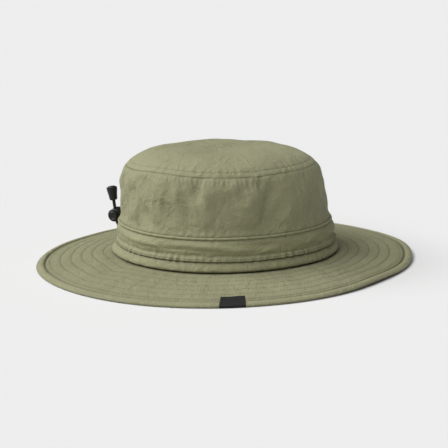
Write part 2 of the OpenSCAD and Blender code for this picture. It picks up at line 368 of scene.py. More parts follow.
# moulded plastic: fine sparkled grain, soft flow marks and a duller dusty tone
def makePlasticGroup():
    tree, g, result = newGroup(
        "mouldedPlastic", {"Place": "Vector", "Base": "Color", "Dust": "Color"})
    grain = addNode(tree, "TexNoise", {0: g["Place"], 2: 2600.0, 3: 2.0})
    flow = addNode(tree, "TexNoise", {0: g["Place"], 2: 320.0, 3: 3.0, 8: 0.8})
    wear = addNode(tree, "ValToRGB", {0: flow.outputs[0]})
    wear.color_ramp.elements[0].position = 0.5
    wear.color_ramp.elements[1].position = 0.72
    dusty = mathNode(tree, "MULTIPLY", wear.outputs[0], 0.5)
    colour = mixColour(tree, dusty, g["Base"], g["Dust"])
    rough = mathNode(tree, "ADD", 0.3, mathNode(tree, "MULTIPLY", flow.outputs[0], 0.25))
    return closeGroup(tree, result, colour, rough, grain.outputs[0])


clothGroup = makeClothGroup()
plasticGroup = makePlasticGroup()


def joinGroup(tree, shader, group, bump, distance):
    # the group gives the shader its colour and roughness, and its bumps through its height
    relief = addNode(tree, "Bump",
                     {"Height": group.outputs["Height"], "Strength": bump, "Distance": distance})
    tree.links.new(group.outputs["Color"], shader.inputs["Base Color"])
    tree.links.new(group.outputs["Roughness"], shader.inputs["Roughness"])
    tree.links.new(relief.outputs[0], shader.inputs["Normal"])


def clothMaterial(name, light, dark, pitch=0.7 * mm, crinkle=1.0, bump=0.8, sheen=0.1):
    # the weave follows the piece's UV, the crinkle its place, and the painted shade and painted highlight
    # its seam attribute
    material, tree, shader = newMaterial(name)
    coords = addNode(tree, "TexCoord")
    seam = addNode(tree, "Attribute", attribute_name="seam")
    group = addNode(tree, "Group",
                    {"Vector": coords.outputs["UV"], "Place": coords.outputs["Object"],
                     "Seam": seam.outputs["Fac"], "Light": light, "Dark": dark, "Pitch": pitch,
                     "Crinkle": crinkle}, node_tree=clothGroup)
    joinGroup(tree, shader, group, bump, 0.8 * mm)
    shader.inputs["Specular IOR Level"].default_value = 0.35
    shader.inputs["Sheen Weight"].default_value = sheen
    shader.inputs["Sheen Roughness"].default_value = 0.45
    return material


def plasticMaterial(name, base, dust, bump=0.08):
    # grain and dust follow the piece's place
    material, tree, shader = newMaterial(name)
    coords = addNode(tree, "TexCoord")
    group = addNode(tree, "Group",
                    {"Place": coords.outputs["Object"], "Base": base, "Dust": dust},
                    node_tree=plasticGroup)
    joinGroup(tree, shader, group, bump, 0.1 * mm)
    return material


# light colour, dark colour, thread pitch, crinkle, bump, sheen
clothLooks = {
    "shellCloth": ((0.355, 0.35, 0.205, 1), (0.25, 0.245, 0.138, 1)),
    "underCloth": ((0.26, 0.255, 0.16, 1), (0.19, 0.185, 0.11, 1), 0.7 * mm, 0.3),
    "seamTape": ((0.21, 0.205, 0.13, 1), (0.15, 0.147, 0.09, 1), 0.5 * mm, 0.1),
    "sweatCloth": ((0.15, 0.15, 0.11, 1), (0.10, 0.10, 0.075, 1), 0.9 * mm, 0.15, 0.4, 0.3),
    "foamSheet": ((0.19, 0.19, 0.17, 1), (0.14, 0.14, 0.12, 1), 1.2 * mm, 0.3, 0.4, 0.0),
    "careSatin": ((0.78, 0.78, 0.74, 1), (0.66, 0.66, 0.62, 1), 0.4 * mm, 0.08, 0.15),
    "sewingThread": ((0.21, 0.205, 0.125, 1), (0.15, 0.146, 0.09, 1), 0.3 * mm, 0.1, 0.3),
    "braidedCord": ((0.03, 0.03, 0.031, 1), (0.012, 0.012, 0.012, 1), 0.6 * mm, 0.1, 0.5, 0.2),
    "wovenLabel": ((0.012, 0.012, 0.012, 1), (0.005, 0.005, 0.005, 1), 0.5 * mm, 0.1, 0.3, 0.02),
}
# base colour, dust colour, bump
plasticLooks = {
    "togglePlastic": ((0.006, 0.006, 0.006, 1), (0.022, 0.022, 0.022, 1)),
    "buttonPlastic": ((0.012, 0.012, 0.012, 1), (0.035, 0.035, 0.036, 1), 0.15),
    "eyeletPaint": ((0.02, 0.02, 0.021, 1), (0.06, 0.06, 0.06, 1), 0.05),
    "springSteel": ((0.55, 0.55, 0.57, 1), (0.42, 0.42, 0.43, 1), 0.05),
}
looks = {name: clothMaterial(name, *look) for name, look in clothLooks.items()}
looks.update({name: plasticMaterial(name, *look) for name, look in plasticLooks.items()})
looks["springSteel"].node_tree.nodes["Principled BSDF"].inputs["Metallic"].default_value = 1.0
print("materials made")

# cord tails, from the eyelets up through the cord lock to the end fitting
cordShape = {"diameter": 2.0 * mm, "gap": 1.25 * mm, "rings": 110, "sides": 14}
lockMiddle = Vector((-113.2, 0, 39.5)) * mm
toggleLean = math.radians(6)
tailTurns = [
    (-103.3, 8, 28), (-103.6, 6.6, 28), (-104.3, 5.4, 28), (-105.4, 4.5, 28),
    (-106.8, 4, 28), (-108.3, 3.6, 28.3), (-109.8, 3.1, 29.1), (-111, 2.5, 30.3),
    (-111.9, 1.8, 31.7),
]
tailStraight = [-6.2, -2, 3, 8, 13, 18.5]


def tailPath(side):
    # the turns out of the eyelet, then straight up along the toggle's own axis
    turns = [(x * mm, side * y * mm, z * mm) for x, y, z in tailTurns]
    straight = [(lockMiddle.x - up * mm * math.sin(toggleLean), side * cordShape["gap"],
                 lockMiddle.z + up * mm * math.cos(toggleLean)) for up in tailStraight]
    return bendThrough(turns + straight, cordShape["rings"])


def tubeAlong(name, path, radius, sides, braid):
    # rings square to the path: centre + radius * (u cos a + v sin a), u kept steady by one fixed axis
    along = np.gradient(path, axis=0)
    along /= np.linalg.norm(along, axis=1)[:, None]
    upright = abs(along[len(along) // 2, 1]) < 0.5
    u = np.cross(along, [0.0, 1.0, 0.0] if upright else [0.0, 0.0, 1.0])
    u /= np.linalg.norm(u, axis=1)[:, None]
    v = np.cross(along, u)
    a = np.arange(sides) * tau / sides
    reach = radius * (1 + braid * np.cos(3 * a[None, :] + np.arange(len(path))[:, None] * 1.9))
    rings = path[:, None] + reach[..., None] * (u[:, None] * np.cos(a)[None, :, None]
                                                + v[:, None] * np.sin(a)[None, :, None])
    return gridMesh(name, rings.transpose(1, 0, 2), closed=True, ends=True)


def makeTail(name, side, node):
    # one free end of the drawcord, with the toggle's parts on it
    path = tailPath(side)
    tail = tubeAlong(name, path, cordShape["diameter"] / 2, cordShape["sides"], 0.04)
    finishPiece(tail, "cord", "braidedCord", node)


makeTail("cordTailLeft", 1, "cord_tail_left")
makeTail("cordTailRight", -1, "cord_tail_right")
print("cords made")


# crown
crownShape = {
    "columns": 720, "clothThickness": 0.8 * mm,
    "seamHeight": 94.5 * mm, "tipHalfLength": 92.2 * mm, "tipRise": 15.5 * mm, "tipCurve": 5.6,
    "stitchGap": 5 * mm, "wrinkle": 0.85, "pucker": 0.3,
    "sideSeam": 95.0,  # degrees from the front
    "lap": 0.012,  # how far the front panel laps over the rear one, in radians
}
wallHeights = [10, 19, 25, 41.4, 47, 53, 59, 67, 76, 82, 88, 91.5, 94.5]
wallRadii = [106.2, 104.6, 102.5, 102.6, 101.1, 100.2, 99.6, 99.2, 98.6, 97.7, 95.6, 94.2, 92.3]
wallCurve = bendThrough(list(zip(wallHeights, wallRadii)), 400)
# folds of the wall: angle, height, length, width, tilt in degrees, depth (millimetres, + is outwards)
wallFolds = [
    (231, 66, 24, 3.8, -28, 2.3),
    (219, 66, 22, 4.6, -14, -2.8),
    (243, 58, 12, 4, -30, -0.9),
    (273, 83, 10, 6, 10, -2.7),
    (267.5, 64, 11, 6, -6, -2.7),
    (262, 78, 12, 5, -14, 1.4),
    (277, 68, 11, 5.5, 18, 1.2),
    (256, 75, 10, 4, 20, -1),
    (279, 62, 9, 4, 25, 0.8),
    (304.5, 88, 7, 2.6, 4, -2),
    (300.5, 88, 7, 2.4, -6, 0.9),
    (307, 72, 15, 5.5, 20, -3.6),
    (298, 72, 14, 6.5, 14, 2),
    (312, 58, 12, 5.5, 34, -1.6),
    (301, 59, 10, 6, 55, 1.6),
    (313, 54, 8, 4.5, 70, 0.8),
    (294, 76, 12, 5, -8, 1),
    (318, 66, 10, 4, -25, 0.8),
    (336, 64, 16, 5, 18, -1.2),
    (350, 75, 18, 6, -12, 1),
    (23, 60, 18, 5, -16, -1.3),
    (52, 70, 22, 7, 16, 1.1),
    (88, 58, 14, 5, -35, -1),
    (131, 72, 20, 6, 22, -1.3),
    (168, 62, 16, 6, -28, -1.1),
    (190, 76, 16, 6, 14, 0.9),
]

# wander of the top seam: angle, width in degrees, rise in millimetres
seamWander = [(248, 17, 2.4), (297, 17, -1.0), (150, 25, 1.4), (60, 30, -1.2)]

# darts of the top panel beside its seam: angle, width in degrees, strength
tipDarts = [(302, 2.2, 1.0), (296, 2.0, -0.6)]

# where the cloth under the top seam is gathered most: angle, width in degrees, extra strength
puckerPlaces = [(274, 9, 0.7), (286, 6, 0.4), (303, 4, 0.3), (332, 10, 0.1), (120, 30, 0.4)]


def bumps(phi, places):
    # sum of size * exp(-(turn from the angle / width)^2)
    total = 0
    for angle, width, size in places:
        turn = turnFrom(phi, math.radians(angle))
        total += size * hump(turn, math.radians(width))
    return total


def foldField(phi, height, folds):
    # each fold is depth * exp(-(across / width)^2 - (along / length)^2) in the wall's own flat coordinates
    total = 0
    for angle, middle, length, width, tilt, depth in folds:
        sideways = turnFrom(phi, math.radians(angle)) * 106
        upward = height / mm - middle
        lean = math.radians(tilt)
        along = sideways * math.sin(lean) + upward * math.cos(lean)
        across = sideways * math.cos(lean) - upward * math.sin(lean)
        total += depth * hump(across, width) * hump(along, length)
    return total * mm


side = math.radians(crownShape["sideSeam"])


def sideSeamGap(phi):
    # distance along the wall from the nearer side seam
    return np.minimum(*(np.abs(turnFrom(phi, seam)) for seam in (side, -side))) * 115 * mm


def crownWall(phi, height, inset=0.0):
    # oval ring of the profile's radius, pushed out by folds, small wrinkles and puckers under the seam
    phi, height = np.broadcast_arrays(phi, height)
    z = height / mm
    radius = np.interp(z, wallCurve[:, 0], wallCurve[:, 1]) * mm
    free = ease(z, 43, 56) * (1 - 0.8 * ease(z, 86, 94))
    small = waves(phi, z * 0.16, 5, 16, 5, 26, 1.4)
    ridge = 1 - np.abs(waves(phi, z * 0.12, 9, 12, 4, 14, 1.6))
    crease = 1 - np.abs(waves(phi, z * 0.25, 11, 16, 14, 48, 1.6))
    push = foldField(phi, height, wallFolds) * ease(z, 43, 50)
    push += crownShape["wrinkle"] * mm * free * (0.7 * small + 0.6 * ridge + 0.38 * crease)
    pucker = waves(phi, z * 0.25, 13, 16, 60, 170, 1.4) * (0.55 + bumps(phi, puckerPlaces))
    push += crownShape["pucker"] * mm * pucker * hump(z - 91.5, 4.2) * (1 - hump(z - 94.5, 1.2))
    low = waves(phi, z * 0.1, 15, 12, 50, 100, 0.6)
    push += 0.25 * mm * low * hump(z - 44.5, 4) * ease(z, 41.8, 43.5)
    seam = sideSeamGap(phi)
    rising = ease(z, 50, 88)
    push = push - 0.16 * mm * rising * hump(seam, 0.7 * mm) + 0.18 * mm * hump(seam - 2.2 * mm, 1.4 * mm)
    push -= 0.6 * mm * hump(height - crownShape["seamHeight"], 0.6 * mm)
    x, y = ovalPoint(phi, radius + push - inset)
    lifted = height + bumps(phi, seamWander) * mm * ease(z, 50, 94.5)
    return np.stack([x + leanAt(height), y, lifted], -1)


def topstitch(phi):
    # how far the topstitch pulls the cloth in: more at the front right than elsewhere
    return 0.15 + 0.85 * hump(turnFrom(phi, 5.6), 0.8)


def crownTop(phi, s):
    # the seam oval shrunk by s, risen by tipRise * (1 - s^tipCurve)
    phi, s = np.broadcast_arrays(phi, s)
    x, y = ovalPoint(phi, crownShape["tipHalfLength"] + 0.0 * phi)
    edge = (1 - s) * crownShape["tipHalfLength"]
    fromStitch = edge - crownShape["stitchGap"]
    dome = crownShape["tipRise"] * (1 - s ** crownShape["tipCurve"])
    height = crownShape["seamHeight"] + dome + bumps(phi, seamWander) * mm * s ** 4
    pucker = waves(phi, edge / mm * 0.05, 21, 14, 40, 100, 0.5)
    height += 0.22 * mm * pucker * hump(fromStitch, 5 * mm) * ease(edge / mm, 0, 2)
    height -= 0.35 * mm * topstitch(phi) * hump(fromStitch, 0.7 * mm)
    height = height - 0.5 * mm * hump(edge, 0.6 * mm) + 0.12 * mm * hump(edge - 2.6 * mm, 1.3 * mm)
    px, py = x * s, y * s
    height -= 0.8 * mm * bumps(phi, tipDarts) * hump(edge - 4 * mm, 4 * mm)
    broad = 0.5 * np.sin(px * 71 + 1.0) * np.sin(py * 83 + 0.6) + 0.4 * np.sin(px * 131 - py * 97 + 2.0)
    fine = 0.18 * np.sin(px * 310 + 4 * np.sin(py * 90)) * np.sin(py * 270 + 1.3)
    height += (broad + fine) * mm * ease(edge / mm, 3, 22)
    shift = leanAt(np.full_like(height, crownShape["seamHeight"]))
    return np.stack([px + shift, py, height], -1)


def withDetail(start, stop, count, lines, offsets=(0, 0.6, 1.3, 2.2)):
    # even steps, with extra steps at and beside each line (millimetres in, metres out)
    near = [line + sign * off for line in lines for sign in (-1, 1) for off in offsets]
    steps = np.unique(np.round(np.concatenate([np.linspace(start, stop, count), near]), 3))
    steps = steps[(steps >= min(start, stop)) & (steps <= max(start, stop))]
    keep = np.concatenate([[True], np.diff(steps) > 0.25])
    keep[-1] = True
    steps = steps[keep]
    return steps * mm if stop > start else steps[::-1] * mm


ringAngles = np.arange(crownShape["columns"]) / crownShape["columns"] * tau


def makeCrownWall(name, start, stop, node, inset=0.0):
    # a side panel from angle start to angle stop, its upright edges set in by inset
    count = int(crownShape["columns"] * (stop - start) / tau)
    phi = np.linspace(start, stop, count)[:, None]
    height = withDetail(14, 94.5, 62, [94.5, 41.4])[None, :]
    beside = inset * (1 - ease(np.minimum(phi - start, stop - phi), crownShape["lap"], 0.05))
    points = crownWall(phi, height, beside)
    # painted shade in the top seam, along the side seams and just above the channel's top edge, painted
    # highlight on the ridge beside each side seam
    seam = -hump(height - crownShape["seamHeight"], 0.5 * mm) + 0 * phi
    seam -= 0.16 * hump(sideSeamGap(phi), 0.8 * mm) * ease(height / mm, 60, 90)
    seam -= 0.5 * hump(height - 42.1 * mm, 0.7 * mm)
    seam += 0.12 * hump(sideSeamGap(phi) - 2.0 * mm, 0.8 * mm)
    piece = gridMesh(name, points, seam=seam)
    thicken(piece, crownShape["clothThickness"])
    finishPiece(piece, "shell_cloth", "shellCloth", node)
    return piece


lap = crownShape["lap"]
crownFront = makeCrownWall("crownFrontPanel", -side - lap, side + lap, "crown_front")
crownRear = makeCrownWall("crownRearPanel", side, tau - side, "crown_rear", 0.25 * mm)

tipSteps = 1 - withDetail(0.05, 88, 46, [2.6, 5])[None, :] / crownShape["tipHalfLength"]
tipEdge = (1 - tipSteps) * crownShape["tipHalfLength"]
# painted shade in the top seam's ditch and along the topstitching, painted highlight on the raised edge
# beside the seam
tipPaintedLight = -hump(tipEdge, 0.5 * mm) + 0.2 * hump(tipEdge - 2.6 * mm, 1.2 * mm)
tipPaintedLight = tipPaintedLight - 0.5 * topstitch(ringAngles[:, None]) * hump(tipEdge - crownShape["stitchGap"], 0.5 * mm)
crownTipPiece = gridMesh("crownTopPanel", crownTop(ringAngles[:, None], tipSteps), closed=True,
                         seam=tipPaintedLight, pole=True)
thicken(crownTipPiece, crownShape["clothThickness"])
finishPiece(crownTipPiece, "shell_cloth", "shellCloth", "crown_tip")


def insideTape(name, phi, height, closed, node):
    # the wall's own points, moved in by the two cloths and kept below the seam
    points = crownWall(phi, height, 0.85 * mm)
    points[..., 2] = np.minimum(points[..., 2], 94.2 * mm)
    piece = gridMesh(name, points, closed=closed)
    thicken(piece, 0.45 * mm)
    finishPiece(piece, "seam_tape", "seamTape", node)


tapeShape = {"width": 10, "bottom": 41.5, "top": 86, "ringBottom": 86.5, "ringTop": 93.6}  # millimetres
tapeRing = np.linspace(tapeShape["ringBottom"], tapeShape["ringTop"], 12)[None, :] * mm
tapeRise = np.linspace(tapeShape["bottom"], tapeShape["top"], 60)[None, :] * mm
tapeAcross = np.linspace(-0.5, 0.5, 12)[:, None] * tapeShape["width"] / 107
insideTape("topSeamTape", ringAngles[::2, None], tapeRing, True, "tip_seam_tape")
insideTape("rightSeamTape", tapeAcross - side, tapeRise, False, "side_seam_tape_right")
insideTape("leftSeamTape", tapeAcross + side, tapeRise, False, "side_seam_tape_left")
print("crown made")

# channel for the drawcord, and the strip under it
channelShape = {
    "columns": 900, "clothThickness": 0.7 * mm, "pucker": 0.4, "roll": 0.55, "wander": 0.8,
    "cordHeight": 28 * mm, "cordRadius": 103.75 * mm, "eyeletOffset": 4.35 * mm, "eyeletHole": 1.9 * mm,
}
channelProfile = [
    (103.6, 21.2), (105.2, 20.7), (106.8, 20.3), (107.7, 20.8), (107.6, 21.9), (106.6, 23.3),
    (105.6, 24.4), (105.3, 25.6), (105.6, 27.2), (105.8, 29.6), (106.0, 31.8), (105.7, 34.2),
    (104.9, 36.6), (103.9, 38.5), (103.4, 39.4), (104.2, 39.9), (104.5, 40.7), (104.1, 41.6),
    (103.2, 41.9), (102.4, 41.5),
]
channelCurve = bendThrough(channelProfile, 54)
stripProfile = [
    (104.6, 18.6), (104.8, 14), (105.2, 10.6), (106.2, 10.2), (107.6, 10.5), (109.2, 11.0),
    (110.2, 12.1), (110.0, 13.8), (109.1, 15.8), (107.9, 17.7), (106.9, 19.2), (106.0, 19.9),
    (104.9, 19.9),
]


def channelRing(phi, k):
    # oval ring through point k of the profile, with uneven fullness and puckers at its stitched edges
    phi, k = np.broadcast_arrays(phi, k)
    where = np.arange(len(channelCurve))
    radius = np.interp(k, where, channelCurve[:, 0]) * mm
    height = np.interp(k, where, channelCurve[:, 1]) * mm
    middle = ease(height / mm, 22.5, 27) * (1 - ease(height / mm, 33, 38))
    height += channelShape["wander"] * mm * middle * waves(phi, 0 * k, 37, 12, 3, 14, 0.1)
    z = height / mm
    full = hump(z - 32, 5)
    edge = hump(z - 21.5, 2.2) + 0.4 * hump(z - 40, 1.6) + 0.3 * hump(z - 25, 2)
    soft = waves(phi, z * 0.5, 31, 14, 2, 10, 1.0)
    pucker = waves(phi, z * 0.12, 33, 16, 55, 125, 1.2)
    push = channelShape["roll"] * soft * full + channelShape["pucker"] * pucker * edge
    push += 0.16 * waves(phi, z * 0.5, 35, 14, 18, 50, 1.6) * (full + hump(z - 26, 3))
    push = np.maximum(push, -0.12 - 3 * (1 - ease(np.abs(z - 28), 3.5, 1.0)))
    corner = hump(turnFrom(phi, math.radians(352)), 0.05)
    push += 0.9 * corner * hump(z - 22, 3)
    radius = radius + push * mm * ease(radius / mm, 102.6, 103.6)
    return ovalRing(phi, radius, height + 0.12 * mm * soft * edge)


def channelPaintedLight(z):
    # sum of bell curves: painted shade in the stitch ditches and the crease, painted highlight along the
    # folded edges and over the bulging middle
    return (-0.6 * hump(z - 39.3, 0.45) + 0.7 * hump(z - 41.0, 0.8) - 0.15 * hump(z - 25.6, 1.2)
            - 0.75 * hump(z - 22.3, 0.45) + 0.4 * hump(z - 20.8, 0.6) + 1.0 * hump(z - 31, 6.5))


channelAngles = np.arange(channelShape["columns"])[:, None] / channelShape["columns"] * tau
channelSteps = np.arange(len(channelCurve))[None, :]
channelPoints = channelRing(channelAngles, channelSteps)
channelValues = channelPaintedLight(channelCurve[:, 1])[None, :] + 0 * channelAngles
middles = (channelPoints + np.roll(channelPoints, -1, 0))[:, :-1] / 2
eyeletGap = np.hypot(np.abs(middles[..., 1]) - channelShape["eyeletOffset"],
                     middles[..., 2] - channelShape["cordHeight"])
channelKeep = (middles[..., 0] > 0) | (eyeletGap > channelShape["eyeletHole"])
channelPiece = gridMesh("drawcordChannel", channelPoints, closed=True, seam=channelValues, keep=channelKeep)
thicken(channelPiece, channelShape["clothThickness"])
finishPiece(channelPiece, "shell_cloth", "shellCloth", "cord_channel")


def profileRing(profile, count, columns, wobble=0.0, rearFlare=0.0, seed=1):
    # closed profile carried round the oval, its outer side wobbling and flaring at the rear
    loop = bendThrough(profile + profile[:1], count + 1)[:-1]
    phi = np.arange(columns)[:, None] / columns * tau
    outer = (loop[None, :, 0] - loop[:, 0].min()) / np.ptp(loop[:, 0])
    push = wobble * waves(phi, loop[None, :, 1] * 0.1, seed, 14, 24, 90, 1.0) * outer * mm
    push += rearFlare * mm * outer * hump(turnFrom(phi, 3.4), 0.55)
    return ovalRing(phi, loop[None, :, 0] * mm + push, loop[None, :, 1] * mm), loop


stripShape = {"columns": 720, "wobble": 0.14, "rearFlare": 1.6, "seed": 41}
stripPoints, stripLoop = profileRing(stripProfile, 34, **stripShape)
# painted shade under the channel's lower edge and under the strip's overhang onto the brim, painted
# highlight on the strip's bulge
stripPaintedLight = (-0.5 * hump(stripLoop[:, 1] - 20.0, 0.9) - 0.95 * hump(stripLoop[:, 1] - 10.6, 1.1)
             + 0.6 * hump(stripLoop[:, 1] - 15, 2.8))[None, :] + 0 * ringAngles[:, None]
stripPiece = gridMesh("baseStrip", stripPoints, closed=True, loop=True, seam=stripPaintedLight)
finishPiece(stripPiece, "shell_cloth", "shellCloth", "base_strip")
print("channel and strip made")

# sweatband
sweatShape = {
    "columns": 480,
    # inner radius, outer radius, bottom, top (millimetres)
    "face": (99.6, 100.05, 7.6, 38.4),
    "foam": (100.15, 101.05, 9, 38),
    "back": (101.12, 101.55, 7.6, 38),
}


def bandRing(name, layer, slot, look):
    # a closed band of the layer's thickness, carried round the oval
    inner, outer, bottom, top = sweatShape[layer]
    middle = (inner + outer) / 2
    rise = np.linspace(bottom, top, 12)[1:-1]
    profile = ([(middle, bottom)] + [(outer, z) for z in rise] + [(middle, top)]
               + [(inner, z) for z in rise[::-1]])
    points, loop = profileRing(profile, 56, sweatShape["columns"])
    piece = gridMesh(name, points, closed=True, loop=True)
    finishPiece(piece, slot, look, "sweatband_" + layer)
    return piece


sweatFace = bandRing("sweatbandFace", "face", "sweatband_cloth", "sweatCloth")
foamPiece = bandRing("sweatbandFoam", "foam", "foam", "foamSheet")
sweatBack = bandRing("sweatbandBack", "back", "sweatband_cloth", "sweatCloth")

# care label: two angles in degrees, then millimetres
careShape = {"start": 168, "stop": 192, "bottom": 12, "top": 28, "radius": 99.55, "thickness": 0.25}
carePhi = np.radians(np.linspace(careShape["start"], careShape["stop"], 40))[:, None]
careHeight = np.linspace(careShape["bottom"], careShape["top"], 24)[None, :]
careRadius = careShape["radius"] - 0.5 * ease(careShape["top"] - careHeight, 0, 18)
carePiece = gridMesh("careLabel", ovalRing(carePhi, careRadius * mm, careHeight * mm))
thicken(carePiece, careShape["thickness"] * mm)
finishPiece(carePiece, "care_label", "careSatin", "care_label")
print("sweatband made")

# brim
brimShape = {
    "columns": 840, "inner": 102, "bend": 107.5, "outer": 182.0, "height": 10.0, "shift": -2.4,
    "thickness": 2.4, "clothThickness": 0.6, "curve": 1.7,
    "lifts": [(0.5, 0.38, 2.6), (-0.42, 0.3, 1.6)],  # angle and width in radians, rise in millimetres
    "groove": 8.0, "rows": (22.0, 32.0, 42.0, 52.0, 62.0), "pillow": 0.5,
}


def brimReach(radius):
    # 0 at the bend beside the crown, 1 at the edge
    return np.clip((radius / mm - brimShape["bend"]) / (brimShape["outer"] - brimShape["bend"]), 0, 1.1)


def brimLift(phi, radius):
    # the far and near front edges rise by lift * exp(-(turn / width)^2), growing outwards
    lift = sum(rise * hump(turnFrom(phi, angle), width) for angle, width, rise in brimShape["lifts"])
    return lift * brimReach(radius) ** 1.5 * mm


# where the brim's outline leaves the oval: angle, width in degrees, size in millimetres
brimWander = [(338, 18, -5.2), (157, 20, -4.0), (215, 18, 1.5), (30, 16, 1.0), (95, 30, -1.0)]


def brimPlace(phi, radius):
    # the oval ring, moved rearwards and in or out of the oval in step with the way out
    reach = brimReach(radius)
    x, y = ovalPoint(phi, radius + bumps(phi, brimWander) * mm * reach)
    return x + brimShape["shift"] * mm * reach, y


def brimRing(phi, radius, height):
    # a ring of the brim's plan at a height
    phi, radius = np.broadcast_arrays(phi, radius)
    return np.stack([*brimPlace(phi, radius), height], -1)


# soft folds of the brim: angle, distance out, length, width, tilt in degrees, depth (millimetres)
brimFolds = [
    (214, 121, 10, 24, 0, 2.3),
    (226, 133, 16, 9, 24, 1.3),
    (238, 134, 18, 9, 20, -1.2),
    (222, 140, 26, 9, 12, 1.1),
    (234, 146, 26, 8, -8, -0.7),
    (246, 150, 22, 7, 10, 0.6),
    (263, 140, 20, 7, -14, -0.4),
    (318, 146, 24, 8, 14, 0.5),
    (205, 150, 18, 6, 0, -0.6),
    (60, 145, 24, 9, 10, 0.8),
    (120, 140, 22, 8, -12, -0.7),
    (150, 150, 22, 8, 6, 0.6),
]


def brimHeight(phi, radius):
    # height less the droop, which grows as a power of the way out, with lifts and folds added
    drop = (brimShape["height"] - brimShape["thickness"]) * brimReach(radius) ** brimShape["curve"]
    return (brimShape["height"] - drop) * mm + brimLift(phi, radius) + foldField(phi, radius, brimFolds)


def rowShow(phi):
    # 0.05 + 0.95 * |cos|^2.2: rows pulled tighter at the front and the rear than at the sides
    return 0.05 + 0.95 * np.abs(np.cos(phi - 0.1)) ** 2.2


def brimTop(phi, radius, above=0.0):
    # stitched rows sink, the cloth swells between them, and small puckers cross each row
    phi, radius = np.broadcast_arrays(phi, radius)
    height = brimHeight(phi, radius)
    inward = brimShape["outer"] - radius / mm
    pull = 0.35 + 0.65 * rowShow(phi)
    relief = pull * (1.3 * hump(inward - 4.2, 2.6) - 1.5 * hump(inward - brimShape["groove"], 1.0))
    for row in brimShape["rows"]:
        relief -= brimShape["pillow"] * rowShow(phi) * hump(inward - row, 1.2)
        tuck = waves(phi, inward * 0.2, int(row), 12, 70, 150, 1.0)
        relief += 0.10 * tuck * hump(inward - row, 3.4)
    relief += 0.16 * waves(phi, inward * 0.02, 51, 14, 14, 60, 1.0) * ease(inward, 9, 20)
    relief += 0.25 * waves(phi, inward * 0.01, 53, 9, 3, 12, 0.8) * ease(inward, 9, 40)
    relief = relief * ease(radius / mm, 109.5, 113)
    return brimRing(phi, radius, height + relief * mm + above)


def brimPaintedLight(phi, inward):
    # sum of bell curves: painted shade in the rows, the hem's groove and the strip's shadow, painted
    # highlight on the rim, and a little darker all over
    pull = 0.3 + 0.7 * rowShow(phi)
    value = pull * (0.5 * hump(inward - 4.6, 1.8) - 1.3 * hump(inward - brimShape["groove"], 1.1))
    value -= 0.25 * hump(inward - 12, 0.5)
    for row in brimShape["rows"]:
        value -= 0.65 * rowShow(phi) * hump(inward - row, 0.7)
    return value - 0.17 - 0.9 * hump(inward - 73.2, 2.6) + 0 * phi


brimAngles = np.arange(brimShape["columns"])[:, None] / brimShape["columns"] * tau


def edgeRoll(phi, start, stop, count, out=0.0):
    # half a circle round the brim's edge, from its top to its underside
    turn = np.linspace(start, stop, count)[None, :]
    half = brimShape["thickness"] / 2 * mm
    rim = brimShape["outer"] * mm - half
    middle = brimHeight(phi, rim + 0 * phi) - half
    return brimRing(phi, rim + (half + out) * np.sin(turn), middle + (half + out) * np.cos(turn))


sewnRadii = [brimShape["outer"] - row for row in (brimShape["groove"],) + brimShape["rows"]]
topRadii = withDetail(brimShape["inner"], 180.6, 30, sewnRadii, (0, 0.8, 1.8))[None, :]
topPoints = np.concatenate([brimTop(brimAngles, topRadii),
                            edgeRoll(brimAngles, 0.12, math.pi / 2, 6)], 1)
topInward = np.concatenate([brimShape["outer"] - topRadii[0] / mm, [1.1, 0.9, 0.6, 0.3, 0.1, 0]])[None, :]
brimTopPiece = gridMesh("brimTopLayer", topPoints, closed=True, flip=True,
                        seam=brimPaintedLight(brimAngles, topInward))
thicken(brimTopPiece, brimShape["clothThickness"] * mm)
finishPiece(brimTopPiece, "shell_cloth", "shellCloth", "brim_top")

# underside: the hem stays as low as the rim, then a step up to the cloth inside it
hemIn = brimShape["outer"] - brimShape["groove"]
rimRadius = (brimShape["outer"] - brimShape["thickness"] / 2) * mm
underAngles = brimAngles[::2]
underRadii = np.concatenate([np.linspace(180, hemIn, 8), np.linspace(hemIn - 0.8, hemIn - 1.6, 2),
                             np.linspace(hemIn - 3, brimShape["inner"], 34)])[None, :] * mm
rimRadii = rimRadius + 0 * underRadii
level = ease(underRadii / mm, hemIn - 1.6, hemIn)
hemHeight = (brimHeight(underAngles, rimRadii) + brimLift(underAngles, underRadii)
             - brimLift(underAngles, rimRadii))
underHeight = brimHeight(underAngles, underRadii) * (1 - level) + hemHeight * level
underHeight = underHeight - brimShape["thickness"] * mm
underPoints = np.concatenate([edgeRoll(underAngles, math.pi / 2, math.pi - 0.1, 6),
                              brimRing(underAngles, underRadii, underHeight)], 1)
brimUnderPiece = gridMesh("brimUnderLayer", underPoints, closed=True, flip=True)
thicken(brimUnderPiece, brimShape["clothThickness"] * mm)
finishPiece(brimUnderPiece, "under_cloth", "underCloth", "brim_under")

coreShape = {"outer": 171.5, "depth": 1.45 * mm, "thickness": 0.2 * mm}
coreRadii = np.linspace(brimShape["inner"], coreShape["outer"], 30)[None, :] * mm
corePoints = brimRing(underAngles, coreRadii, brimHeight(underAngles, coreRadii) - coreShape["depth"])
corePiece = gridMesh("brimStiffener", corePoints, closed=True, flip=True)
thicken(corePiece, coreShape["thickness"])
finishPiece(corePiece, "foam", "foamSheet", "brim_core")
print("brim made")

